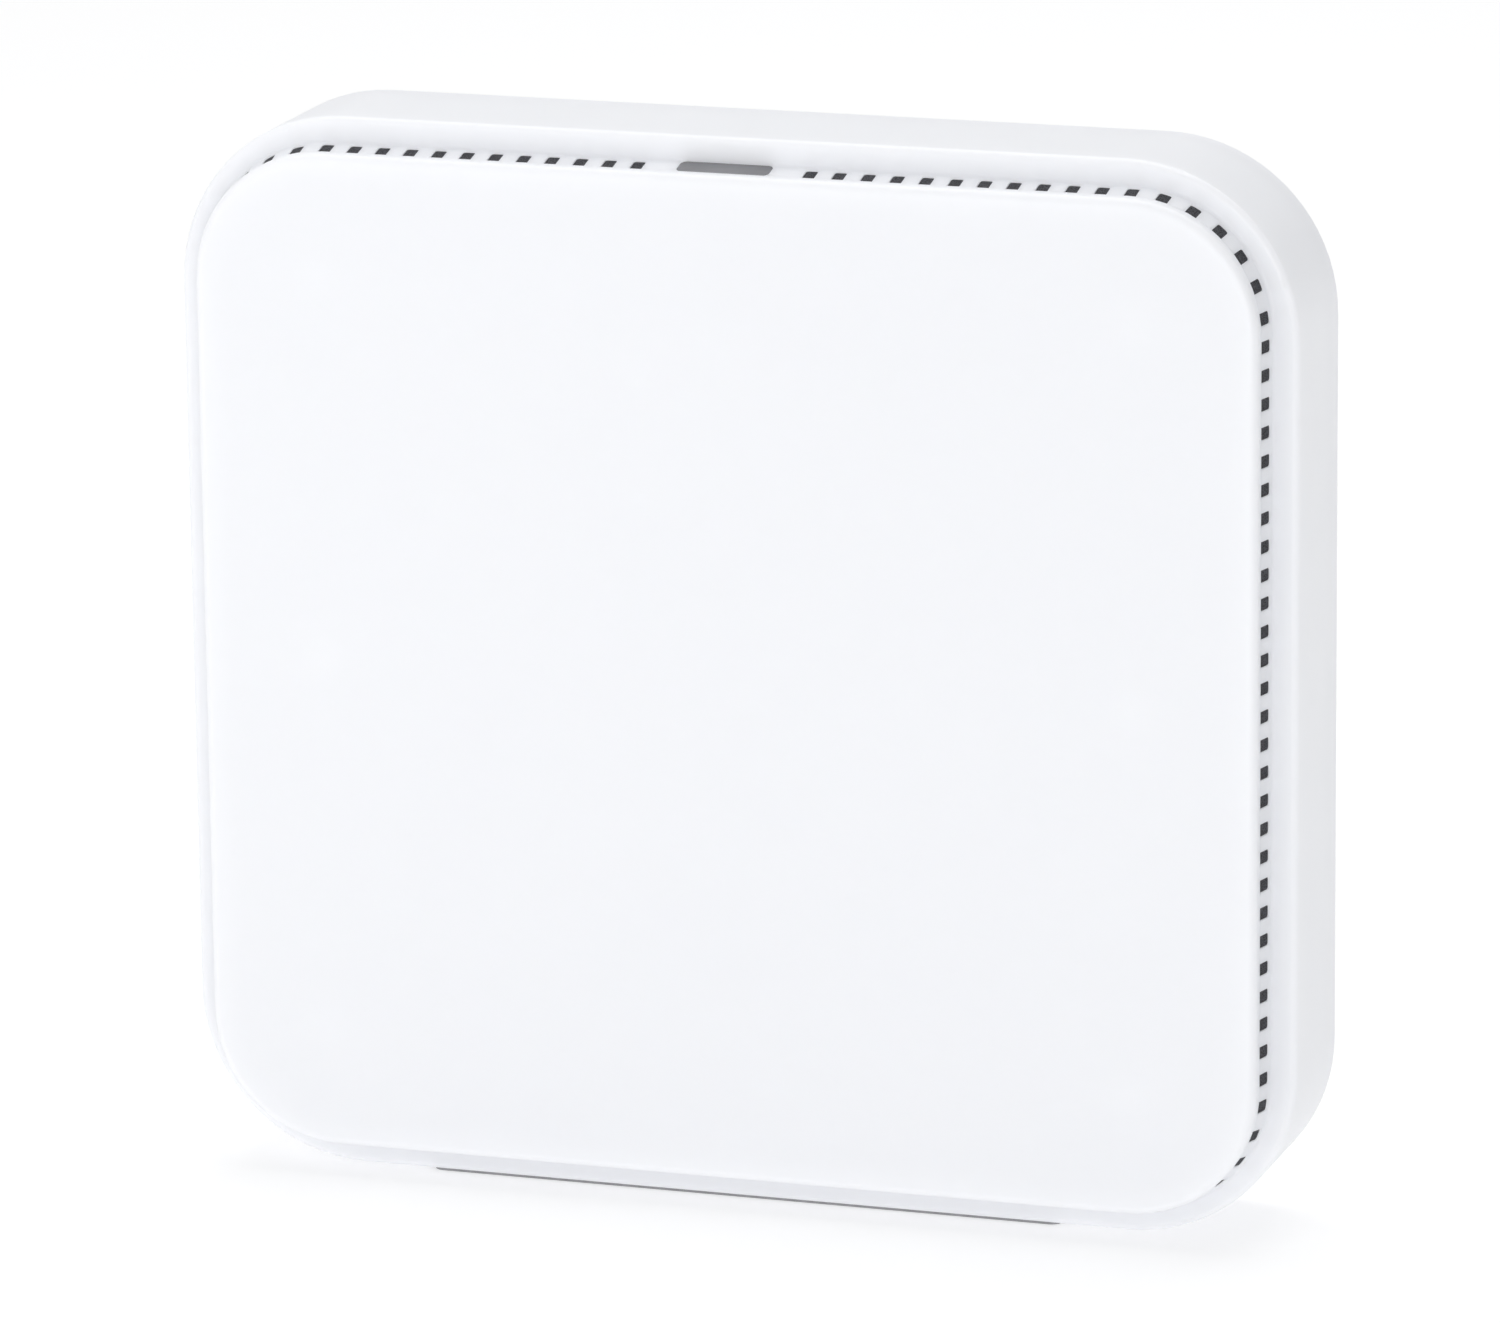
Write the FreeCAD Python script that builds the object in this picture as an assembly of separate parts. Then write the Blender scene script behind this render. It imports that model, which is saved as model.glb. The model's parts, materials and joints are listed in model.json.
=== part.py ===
"""Smart home hub: a flat, upright wireless gateway.

A rounded-square housing carries a front rim, and a raised front panel stands proud of that rim on a
short neck. The neck is notched all round, so the panel closes the notches into a row of small vents,
with a smoked status window in the middle of the top side. The rear cover holds the sockets, a pairing
button, a recessed reset plunger and a battery switch. Inside are the main board with its radio modules
and heat sink, three antennas, a backup battery and their leads.

Frame: +Z up, the front panel faces -Y, and the origin is at the middle of the footprint, at the soles
of the feet. Shapes are modelled about the middle of the housing and lifted when they are written.
Each sub-part is written to parts/NODE.step in millimetres.
"""

import FreeCAD
import Part
import math
import os

V = FreeCAD.Vector

# ---------------------------------------------------------------- driving dimensions, millimetres
WIDTH = 160.0
HEIGHT = 150.0
CORNER = 24.0            # outer corner radius of the housing
DEPTH = 27.0             # from the panel's face to the housing's back edge
RAISE = 6.0              # how far the panel's face stands in front of the rim
SINK = 0.9               # how deep the feet sit in the housing
FOOT_PROUD = 0.5         # how far the feet stand below the housing
FEET_Y = {"foot_front": -4.6, "foot_rear": 10.2}
FOOT_HALF = (46.0, 1.6)  # half length and half width of a foot strip

X_CORNER = WIDTH / 2 - CORNER
Z_CORNER = HEIGHT / 2 - CORNER
TOP = HEIGHT / 2
Y_FACE = -DEPTH / 2
Y_BACK = DEPTH / 2
Y_RIM = Y_FACE + RAISE

WALL = 2.4               # housing side wall
FLANGE = 2.0             # housing rim thickness
RIM_EDGE = 1.0           # rounding between rim and side wall
NECK_CORNER = 22.6       # corner radius that the neck and panel are inset from, tighter than the housing's
NECK_BASE = 3.55         # inset of the neck where it leaves the rim
NECK_TOP = 4.3           # inset of the neck where it meets the panel
NECK_INNER = 5.8         # inset of the neck's inside
NECK_HEIGHT = 3.2
X_TURN = WIDTH / 2 - NECK_CORNER
Z_TURN = HEIGHT / 2 - NECK_CORNER
Y_NECK = Y_RIM - NECK_HEIGHT
Y_FLANGE = Y_RIM + FLANGE

PANEL = 2.0              # front panel thickness
PANEL_INSET = 4.2        # inset of the panel's edge, which stands just outside the neck
PANEL_EDGE = 1.2         # rounding of the panel's edge
PART_LINE = 0.2          # gap between panel and neck
Y_PANEL_IN = Y_FACE + PANEL

VENTS_TOP = 14           # vent places from the top's centre to the start of a corner
VENTS_TURN = 6           # further places round that corner
VENT_TURN = 13.75        # degrees from one of those to the next
VENTS_SIDE = 14          # further places down to the side's centre
VENT_SIDE_PITCH = 3.92
VENT_INSET = 4.0         # inset of the line along which they are spaced
VENT_LENGTH = 1.74
VENT_CORNER = 0.35       # rounding of a vent's corners near the rim
VENT_FLOOR = 0.8         # height above the rim at which a vent starts
TOOTH_SUNK = 0.12        # how far the screen's tooth lies below the neck's surface in each vent
TOOTH_GAP = 0.02
LAST_VENT = VENTS_TOP + VENTS_TURN + VENTS_SIDE
WINDOW_PLACES = 2        # places that the window takes on each side of the top centre
WINDOW_HALF = 6.6        # half length of the status window
WINDOW_CORNER = 0.9

COVER = 2.0              # rear cover thickness
COVER_SUNK = 0.8         # how far the cover lies inside the back edge
COVER_REBATE = 1.2       # inset of the rebate that the cover drops into
COVER_GAP = 0.15
Y_COVER = Y_BACK - COVER_SUNK
Y_COVER_IN = Y_COVER - COVER

BOSS_REACH = 18.3        # cover screw bosses, from the centre of each corner's curve
BOSS_RADIUS = 3.6
COVER_SCREW_SEAT = 1.1   # depth of the counterbore under each cover screw's head

BOARD_HALF = (63.0, 58.0)
BOARD = 1.6
BOARD_SCREW_INSET = 4.5
Y_BOARD = Y_PANEL_IN + 5.5
Y_BOARD_BACK = Y_BOARD + BOARD

PORT_Z = -48.0           # height of the row of sockets, from the middle
PORT_RECESS = 0.7        # depth of the shallow recess round the sockets
Y_PORT = Y_COVER - 0.2   # back faces of the sockets
PORT_GAP = 0.2           # gap between a socket and its opening in the cover
ETHERNET = (16.0, 13.5)  # outer width and height of the network socket
USB = (13.2, 5.7)
DC = (9.0, 11.0)
SHEET = 0.3              # thickness of pressed metal
DC_X = 34.0
ETHERNET_X = 12.0
USB_X = -10.0
PAIR_X = -32.0
RESET_X = -46.0
SWITCH_X = 50.0

PAIR_CAP = 4.6           # radius of the pairing button's cap
PAIR_FLANGE = 5.7        # radius of the flange that keeps it in
BUTTON_GAP = 0.3
SWITCH_TRAVEL = 3.0
SWITCH_TOP = Y_BOARD_BACK + 3.4          # top of a push switch's fixed body
PLUNGER_TOP = SWITCH_TOP + 1.2
PLUNGER = 1.7            # radius of a push switch's plunger

KEYHOLE_X = 50.0
KEYHOLE_Z = 30.0
KEYHOLE_R = 4.2          # round entry of a keyhole
KEYSLOT_R = 2.3          # half width of its slot
KEYSLOT_RISE = 7.0

VENT_SLOT = (12.0, 1.1)  # half length and half width of a slot in the rear cover
VENT_SLOT_X = (-30.0, 0.0, 30.0)
VENT_SLOT_Z = (-4.0, -8.5, -13.0, -17.5, -22.0)
LABEL = (0.0, 35.0, 27.0, 17.0)          # x, z, half width and half height of the label

GUIDE_HALF = 6.0         # half length of the light guide
GUIDE_EAR = 3.0
STAKE_Z = BOARD_HALF[1] + 3.9

BATTERY_HALF = (28.0, 19.0)
BATTERY_Z = 35.0
BATTERY_Y = (1.0, 10.0)

PROCESSOR = (-20.0, -12.0)
WIFI = (36.0, 2.0)
ZIGBEE = (-46.0, 40.0)
ZWAVE = (44.0, 34.0)
ANTENNA_Y = (-1.0, 8.0)
LEAD = 0.65              # radius of an antenna lead

PARTS = {}


# ---------------------------------------------------------------- shape helpers
def box(x0, x1, y0, y1, z0, z1):
    """A box from its lowest and highest corners."""
    return Part.makeBox(x1 - x0, y1 - y0, z1 - z0, V(x0, y0, z0))


def block(x, z, size_x, size_z, y0, y1):
    """A box centred on (x, z), from y0 to y1."""
    return box(x - size_x / 2, x + size_x / 2, y0, y1, z - size_z / 2, z + size_z / 2)


def rod(x, z, radius, y0, y1):
    """A cylinder along Y."""
    return Part.makeCylinder(radius, y1 - y0, V(x, y0, z), V(0, 1, 0))


def fuse(shapes):
    """One solid from several that touch or overlap."""
    return shapes[0].fuse(shapes[1:]).removeSplitter()


def flip_x(shape):
    return shape.mirror(V(0, 0, 0), V(1, 0, 0))


def flip_z(shape):
    return shape.mirror(V(0, 0, 0), V(0, 0, 1))


def edges_at(shape, y):
    """The edges that lie wholly in the plane at y."""
    return [e for e in shape.Edges if e.BoundBox.YMin > y - 1e-4 and e.BoundBox.YMax < y + 1e-4]


def corner_arc(before, here, after, reach):
    """The tangent arc that rounds a corner, reaching that far along both of its sides."""
    back = (before - here).normalize()
    ahead = (after - here).normalize()
    half = back.getAngle(ahead) / 2
    radius = reach * math.tan(half)
    middle = here + (back + ahead).normalize() * (radius / math.sin(half) - radius)
    return Part.Arc(here + back * reach, middle, here + ahead * reach).toShape()


def outline(points, place):
    """A closed face through (a, b, radius) corners; place turns (a, b) into a point in space."""
    spots = [place(a, b) for a, b, _ in points]
    joints = []
    for i, (_, _, radius) in enumerate(points):
        before, here, after = spots[i - 1], spots[i], spots[(i + 1) % len(spots)]
        if radius == 0:
            joints.append((here, None, here))
            continue
        half = (before - here).getAngle(after - here) / 2
        arc = corner_arc(before, here, after, radius / math.tan(half))
        joints.append((arc.Vertexes[0].Point, arc, arc.Vertexes[-1].Point))
    edges = []
    for i, (_, arc, end) in enumerate(joints):
        if arc:
            edges.append(arc)
        start = joints[(i + 1) % len(joints)][0]
        if start.distanceToPoint(end) > 1e-6:
            edges.append(Part.makeLine(end, start))
    return Part.Face(Part.Wire(edges))


def ring(profile, corner):
    """A frame of the housing's size and that corner radius, from a section of (inset, y, radius) corners."""
    x_turn, z_turn = WIDTH / 2 - corner, HEIGHT / 2 - corner
    side = outline(profile, lambda inset, y: V(WIDTH / 2 - inset, y, -z_turn)).extrude(V(0, 0, 2 * z_turn))
    top = outline(profile, lambda inset, y: V(-x_turn, y, TOP - inset)).extrude(V(2 * x_turn, 0, 0))
    turn = outline(profile, lambda inset, y: V(WIDTH / 2 - inset, y, z_turn))
    turn = turn.revolve(V(x_turn, 0, z_turn), V(0, 1, 0), -90)
    upper = [turn, top, flip_x(turn)]
    return fuse([side, flip_x(side)] + upper + [flip_z(shape) for shape in upper])


def plate(half_x, half_z, radius, y0, y1, x=0.0, z=0.0):
    """A flat plate with rounded corners."""
    corners = [(-half_x, -half_z), (half_x, -half_z), (half_x, half_z), (-half_x, half_z)]
    face = outline([(a, b, radius) for a, b in corners], lambda a, b: V(x + a, y0, z + b))
    return face.extrude(V(0, y1 - y0, 0))


def stadium(x, z, half_length, radius, y0, y1):
    """A slot shape along X with round ends."""
    straight = half_length - radius
    ends = [rod(x + side * straight, z, radius, y0, y1) for side in (-1, 1)]
    return fuse([box(x - straight, x + straight, y0, y1, z - radius, z + radius)] + ends)


def lead(points, radius, bend):
    """A round lead along straight runs joined by tangent arcs, of the bend radius where there is room."""
    spots = [V(*p) for p in points]
    edges = []
    last = spots[0]
    for before, here, after in zip(spots, spots[1:], spots[2:]):
        half = (before - here).getAngle(after - here) / 2
        shorter = min(before.distanceToPoint(here), after.distanceToPoint(here))
        arc = corner_arc(before, here, after, min(bend / math.tan(half), 0.45 * shorter))
        edges += [Part.makeLine(last, arc.Vertexes[0].Point), arc]
        last = arc.Vertexes[-1].Point
    edges.append(Part.makeLine(last, spots[-1]))
    section = Part.Wire(Part.makeCircle(radius, spots[0], spots[1] - spots[0]))
    return Part.Wire(edges).makePipeShell([section], True, False)


def screw(x, z, seat, head_radius, head_height, shank_radius, length):
    """A cross-head screw driven towards -Y, whose head sits on y = seat."""
    top = seat + head_height
    head = rod(x, z, head_radius, seat, top)
    head = head.makeFillet(head_height * 0.4, edges_at(head, top))
    arm, width, floor = head_radius * 1.24, head_radius * 0.4, seat + head_height * 0.35
    cross = [block(x, z, arm, width, floor, top + 1), block(x, z, width, arm, floor, top + 1)]
    return fuse([head, rod(x, z, shank_radius, seat - length, seat)]).cut(cross)


# ---------------------------------------------------------------- casing
def boss_places():
    """Centres of the four corner bosses for the cover screws."""
    step = BOSS_REACH / math.sqrt(2)
    return [(a * (X_CORNER + step), b * (Z_CORNER + step)) for a in (-1, 1) for b in (-1, 1)]


def vent_place(k):
    """Place k on the vent line, clockwise from the top centre: its point and its outward angle."""
    radius = NECK_CORNER - VENT_INSET
    if k <= VENTS_TOP:
        return V(X_TURN * k / VENTS_TOP, 0, Z_TURN + radius), 90
    if k <= VENTS_TOP + VENTS_TURN:
        degrees = 90 - VENT_TURN * (k - VENTS_TOP)
        turn = math.radians(degrees)
        return V(X_TURN + radius * math.cos(turn), 0, Z_TURN + radius * math.sin(turn)), degrees
    return V(X_TURN + radius, 0, VENT_SIDE_PITCH * (LAST_VENT - k)), 0


def vent_cutters(gap=0.0):
    """Blocks across the neck, open towards the panel; the window's places are left out at the top.
    A gap makes them smaller all round."""
    inward, outward = 2.6, 1.6
    half, floor, open_end = VENT_LENGTH / 2 - gap, Y_RIM - VENT_FLOOR - gap, Y_NECK - 1
    section = [(open_end, -half, 0), (open_end, half, 0)]
    section += [(floor, half, VENT_CORNER), (floor, -half, VENT_CORNER)]
    notch = outline(section, lambda y, z: V(-inward, y, z)).extrude(V(inward + outward, 0, 0))
    cutters = []
    for k in range(LAST_VENT + 1):
        centre, angle = vent_place(k)
        cutter = notch.rotated(V(0, 0, 0), V(0, 1, 0), -angle).translated(centre)
        sides = [cutter, flip_x(cutter)] if k > 0 else [cutter]
        if k > WINDOW_PLACES:
            cutters += sides
        if k < LAST_VENT:
            cutters += [flip_z(side) for side in sides]
    return cutters


def window_shape(gap, z0, z1):
    """The status window's outline, an upright plate with rounded corners in plan."""
    half, front, back = WINDOW_HALF - gap, Y_NECK + gap, Y_RIM - gap
    corners = [(-half, front), (half, front), (half, back), (-half, back)]
    face = outline([(x, y, WINDOW_CORNER) for x, y in corners], lambda x, y: V(x, y, z0))
    return face.extrude(V(0, 0, z1 - z0))


def foot_strip(y, z0, z1, slack=0.0):
    """A long pad with round ends under the housing."""
    half_length, half_width = FOOT_HALF
    straight, radius = half_length - half_width, half_width + slack
    ends = [Part.makeCylinder(radius, z1 - z0, V(side * straight, y, z0)) for side in (-1, 1)]
    return fuse([box(-straight, straight, y - radius, y + radius, z0, z1)] + ends)


def housing():
    pilot_radius, pilot_floor = 1.3, 2.5
    foot_slack = 0.1
    shared = 0.8             # how far the wall's flange and the neck's run into each other
    wall = ring([
        (0, Y_BACK, 0.6),
        (0, Y_RIM, RIM_EDGE),
        (NECK_BASE, Y_RIM, 0),
        (NECK_BASE, Y_FLANGE, 0),
        (WALL, Y_FLANGE, 0.8),
        (WALL, Y_COVER_IN, 0),
        (COVER_REBATE, Y_COVER_IN, 0),
        (COVER_REBATE, Y_BACK, 0.2),
    ], CORNER)
    neck = ring([
        (NECK_BASE - shared, Y_FLANGE, 0),
        (NECK_BASE - shared, Y_RIM, 0),
        (NECK_BASE, Y_RIM, 0.5),
        (NECK_TOP, Y_NECK, 0.15),
        (NECK_INNER, Y_NECK, 0.15),
        (NECK_INNER, Y_FLANGE, 0.3),
    ], NECK_CORNER)
    bosses = [rod(x, z, BOSS_RADIUS, Y_FLANGE - 0.5, Y_COVER_IN) for x, z in boss_places()]
    pilots = [rod(x, z, pilot_radius, Y_FLANGE + pilot_floor, Y_COVER_IN + 1) for x, z in boss_places()]
    window = window_shape(0, TOP - NECK_INNER - 1, TOP)
    grooves = [foot_strip(y, -TOP - 1, -TOP + SINK, foot_slack) for y in FEET_Y.values()]
    return fuse([wall, neck] + bosses).cut(pilots + [window] + grooves + vent_cutters())


def snap_fingers():
    """Eight fingers whose barbs catch behind the housing's flange."""
    half_width, place = 3.5, 34.0
    root, face, barb, back = Y_PANEL_IN - 0.5, NECK_INNER + 0.8, NECK_INNER - 0.8, NECK_INNER + 2.0
    catch = Y_FLANGE + 0.1
    section = [
        (back, root, 0), (face, root, 0), (face, catch, 0), (barb, catch, 0), (barb, catch + 0.5, 0),
        (face, catch + 1.9, 0), (back, catch + 1.9, 0),
    ]
    fingers = []
    for middle in (-place, place):
        side = outline(section, lambda inset, y: V(WIDTH / 2 - inset, y, middle - half_width))
        side = side.extrude(V(0, 0, 2 * half_width))
        top = outline(section, lambda inset, y: V(middle - half_width, y, TOP - inset))
        top = top.extrude(V(2 * half_width, 0, 0))
        fingers += [side, flip_x(side), top, flip_z(top)]
    return fingers


def board_screw_places():
    """Six screws hold the board: at its corners and at the middle of its sides."""
    x, z = BOARD_HALF[0] - BOARD_SCREW_INSET, BOARD_HALF[1] - BOARD_SCREW_INSET
    return [(side * x, level) for side in (-1, 1) for level in (-z, 0, z)]


def front_panel():
    boss_radius, pilot_radius, pilot_depth = 3.0, 0.95, 4.8
    lip = 2.6
    edge = ring([
        (NECK_CORNER, Y_FACE, 0),
        (PANEL_INSET, Y_FACE, PANEL_EDGE),
        (PANEL_INSET, Y_NECK - PART_LINE, 0.15),
        (PANEL_INSET + lip, Y_NECK - PART_LINE, 0.1),
        (PANEL_INSET + lip + 0.4, Y_PANEL_IN, 0.2),
        (NECK_CORNER, Y_PANEL_IN, 0),
    ], NECK_CORNER)
    core = box(-X_TURN, X_TURN, Y_FACE, Y_PANEL_IN, -Z_TURN, Z_TURN)
    root = Y_PANEL_IN - 0.5
    bosses = [rod(x, z, boss_radius, root, Y_BOARD) for x, z in board_screw_places()]
    stakes = []
    for side in (-1, 1):
        x = side * (GUIDE_HALF + GUIDE_EAR / 2)
        stakes += [rod(x, STAKE_Z, 1.3, root, Y_NECK + 1.2), rod(x, STAKE_Z, 0.6, root, Y_NECK + 3.0)]
    body = fuse([edge, core] + snap_fingers() + bosses + stakes)
    pilots = [rod(x, z, pilot_radius, Y_BOARD - pilot_depth, Y_BOARD + 1) for x, z in board_screw_places()]
    return body.cut(pilots)


def vent_screen():
    """A dark strip inside the neck, with a tooth in each vent; it stops behind the status window."""
    near, far, end = NECK_INNER + 0.05, NECK_INNER + 0.6, Y_RIM + 0.4
    front = Y_NECK + 0.05
    strip = ring([(near, front, 0), (far, front, 0), (far, end, 0), (near, end, 0)], NECK_CORNER)
    fill = ring([
        (NECK_BASE + TOOTH_SUNK, Y_RIM, 0), (NECK_TOP + TOOTH_SUNK, front, 0), (near + 0.1, front, 0),
        (near + 0.1, Y_RIM, 0),
    ], NECK_CORNER)
    teeth = fill.common(Part.makeCompound(vent_cutters(TOOTH_GAP)))
    gap = WINDOW_HALF + 1.2
    strip = strip.cut(box(-gap, gap, Y_NECK - 1, Y_FLANGE, 0, TOP))
    return fuse([strip] + teeth.Solids)


def casing():
    PARTS["housing"] = housing()
    PARTS["front_panel"] = front_panel()
    PARTS["vent_screen"] = vent_screen()
    for name, y in FEET_Y.items():
        PARTS[name] = foot_strip(y, -TOP - FOOT_PROUD, -TOP + SINK)


# ---------------------------------------------------------------- status light
def status_light():
    half = WINDOW_HALF + 0.9
    inner = NECK_INNER + 0.5
    section = [(NECK_BASE, Y_RIM, 0), (NECK_TOP, Y_NECK, 0), (inner, Y_NECK, 0), (inner, Y_RIM, 0)]
    slope = outline(section, lambda inset, y: V(-half, y, TOP - inset)).extrude(V(2 * half, 0, 0))
    lens = window_shape(0.02, TOP - NECK_INNER - 0.5, TOP).common(slope)
    collar = box(-half, half, Y_NECK, Y_RIM + 0.6, TOP - NECK_INNER - 0.9, TOP - NECK_INNER - 0.05)
    PARTS["led_window"] = fuse([lens, collar])

    guide_top, guide_low = TOP - NECK_INNER - 1.0, BOARD_HALF[1] + 0.6
    guide = outline(
        [(Y_BOARD - 0.2, guide_low, 0.3), (Y_NECK + 0.9, guide_low, 0.3), (Y_NECK, guide_top, 0),
         (Y_RIM + 0.4, guide_top, 0), (Y_BOARD - 0.2, guide_low + 3, 0)],
        lambda y, z: V(-GUIDE_HALF, y, z),
    ).extrude(V(2 * GUIDE_HALF, 0, 0))
    ear_x = GUIDE_HALF + GUIDE_EAR / 2
    ears = [block(side * ear_x, STAKE_Z, GUIDE_EAR + 0.2, GUIDE_EAR, Y_NECK + 1.2, Y_NECK + 2.4)
            for side in (-1, 1)]
    holes = [rod(side * ear_x, STAKE_Z, 0.65, Y_NECK, Y_NECK + 4) for side in (-1, 1)]
    PARTS["light_guide"] = fuse([guide] + ears).cut(holes)

    led_width, led_height, led_depth, led_pitch = 2.4, 1.6, 1.2, 4.0
    PARTS["status_leds"] = Part.makeCompound([
        block(k * led_pitch, BOARD_HALF[1] - led_height, led_width, led_height, Y_BOARD - led_depth, Y_BOARD)
        for k in (-1, 0, 1)
    ])


# ---------------------------------------------------------------- rear cover
def keyhole(x, z, y0, y1):
    slot = box(x - KEYSLOT_R, x + KEYSLOT_R, y0, y1, z, z + KEYSLOT_RISE)
    return fuse([rod(x, z, KEYHOLE_R, y0, y1), slot, rod(x, z + KEYSLOT_RISE, KEYSLOT_R, y0, y1)])


def rear_cover():
    inset, edge = COVER_REBATE + COVER_GAP, 0.5
    body = plate(WIDTH / 2 - inset, HEIGHT / 2 - inset, CORNER - inset, Y_COVER_IN, Y_COVER)
    body = body.makeFillet(edge, edges_at(body, Y_COVER))

    root, tray_wall, tray_gap = Y_COVER_IN + 0.5, 1.3, 0.4
    half_x, half_z = BATTERY_HALF[0] + tray_gap, BATTERY_HALF[1] + tray_gap
    tray = plate(half_x + tray_wall, half_z + tray_wall, 2.5, 5.0, root, 0, BATTERY_Z)
    pocket = plate(half_x, half_z, 1.2, 4.0, Y_COVER_IN, 0, BATTERY_Z)
    lead_gap = box(half_x - 1, half_x + 3, 4, Y_COVER_IN, BATTERY_Z - half_z + 2, BATTERY_Z - half_z + 10)
    guide_y = 6.5
    guide_tube = rod(PAIR_X, PORT_Z, PAIR_FLANGE + BUTTON_GAP + 1.4, guide_y, root)
    body = fuse([body, tray.cut([pocket, lead_gap]), guide_tube])

    through = (guide_y - 1, Y_COVER + 1)
    label_x, label_z, label_half_x, label_half_z = LABEL
    cuts = [
        plate(56, 13, 4, Y_COVER - PORT_RECESS, Y_COVER + 1, 2, PORT_Z),
        block(ETHERNET_X, PORT_Z, ETHERNET[0] + 2 * PORT_GAP, ETHERNET[1] + 2 * PORT_GAP, *through),
        block(USB_X, PORT_Z, USB[0] + 2 * PORT_GAP, USB[1] + 2 * PORT_GAP, *through),
        block(DC_X, PORT_Z, DC[0] + 2 * PORT_GAP, DC[1] + 2 * PORT_GAP, *through),
        rod(PAIR_X, PORT_Z, PAIR_CAP + BUTTON_GAP, *through),
        rod(PAIR_X, PORT_Z, PAIR_FLANGE + BUTTON_GAP, guide_y - 1, Y_COVER_IN),
        rod(RESET_X, PORT_Z, 1.3, *through),
        stadium(SWITCH_X, PORT_Z, 4.2, 1.8, *through),
        plate(label_half_x + 0.3, label_half_z + 0.3, 2, Y_COVER - 0.3, Y_COVER + 1, label_x, label_z),
    ]
    cuts += [keyhole(side * KEYHOLE_X, KEYHOLE_Z, *through) for side in (-1, 1)]
    cuts += [stadium(x, z, *VENT_SLOT, *through) for z in VENT_SLOT_Z for x in VENT_SLOT_X]
    for x, z in boss_places():
        cuts += [rod(x, z, 1.7, *through), rod(x, z, 3.2, Y_COVER - COVER_SCREW_SEAT, Y_COVER + 1)]
    return body.cut(cuts)


def cover_parts():
    PARTS["rear_cover"] = rear_cover()
    label_x, label_z, half_x, half_z = LABEL
    PARTS["rating_label"] = plate(half_x, half_z, 1.8, Y_COVER - 0.3, Y_COVER - 0.1, label_x, label_z)
    seat = Y_COVER - COVER_SCREW_SEAT
    PARTS["cover_screws"] = Part.makeCompound([
        screw(x, z, seat, 2.8, 1.5, 1.25, 11.0) for x, z in boss_places()
    ])


# ---------------------------------------------------------------- sockets
def ethernet_socket():
    width, height = ETHERNET
    ways, way_pitch = 8, 1.27
    plug_width, plug_height, latch_width, latch_height = 11.9, 7.9, 6.2, 2.4
    floor = Y_PORT - 13.0
    plug_z, latch_z = PORT_Z - 0.4, PORT_Z + 4.5
    shell = block(ETHERNET_X, PORT_Z, width, height, Y_BOARD_BACK, Y_PORT)
    inner_width, inner_height = width - 2 * SHEET, height - 2 * SHEET
    hollow = block(ETHERNET_X, PORT_Z, inner_width, inner_height, Y_BOARD_BACK - 1, Y_PORT - SHEET)
    mouths = [block(ETHERNET_X, plug_z, plug_width + 0.4, plug_height + 0.4, Y_PORT - 3, Y_PORT + 1),
              block(ETHERNET_X, latch_z, latch_width + 0.2, latch_height + 0.2, Y_PORT - 3, Y_PORT + 1)]
    PARTS["ethernet_shield"] = shell.cut([hollow] + mouths)

    places = [ETHERNET_X + (k - (ways - 1) / 2) * way_pitch for k in range(ways)]
    body = block(ETHERNET_X, PORT_Z, width - 0.8, height - 0.8, Y_BOARD_BACK, Y_PORT - SHEET - 0.1)
    cuts = [block(ETHERNET_X, plug_z, plug_width, plug_height, floor, Y_PORT + 1),
            block(ETHERNET_X, latch_z, latch_width, latch_height, floor + 4, Y_PORT + 1)]
    cuts += [block(x, PORT_Z - 4.6, 0.7, 1.2, floor + 2, Y_PORT - 1.5) for x in places]
    PARTS["ethernet_insert"] = body.cut(cuts)

    strip = [(floor + 2.2, -4.9, 0), (floor + 2.2, -4.5, 0), (Y_PORT - 6.0, -3.3, 0),
             (Y_PORT - 2.0, -4.5, 0), (Y_PORT - 2.0, -4.9, 0), (Y_PORT - 6.0, -3.7, 0)]
    contact = outline(strip, lambda y, z: V(-0.22, y, PORT_Z + z)).extrude(V(0.44, 0, 0))
    PARTS["ethernet_contacts"] = Part.makeCompound([contact.translated(V(x, 0, 0)) for x in places])


def usb_socket():
    width, height = USB
    wall, floor = 0.35, Y_BOARD_BACK + 2
    shell = plate(width / 2, height / 2, 0.5, Y_BOARD_BACK, Y_PORT, USB_X, PORT_Z)
    inside = plate(width / 2 - wall, height / 2 - wall, 0.3, floor, Y_PORT + 1, USB_X, PORT_Z)
    windows = [block(USB_X + side * 3.2, PORT_Z, 1.8, 8, Y_PORT - 8, Y_PORT - 5) for side in (-1, 1)]
    PARTS["usb_shell"] = shell.cut([inside] + windows)
    tongue = block(USB_X, PORT_Z + 1.15, 11.0, 1.8, floor, Y_PORT - 0.8)
    heel = block(USB_X, PORT_Z, 12.3, 4.8, floor, floor + 3)
    PARTS["usb_tongue"] = fuse([tongue, heel])
    PARTS["usb_contacts"] = Part.makeCompound([
        block(USB_X + x, PORT_Z + 0.19, 1.1, 0.12, floor + 3.2, Y_PORT - 1.6) for x in (-3.5, -1.0, 1.0, 3.5)
    ])


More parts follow.
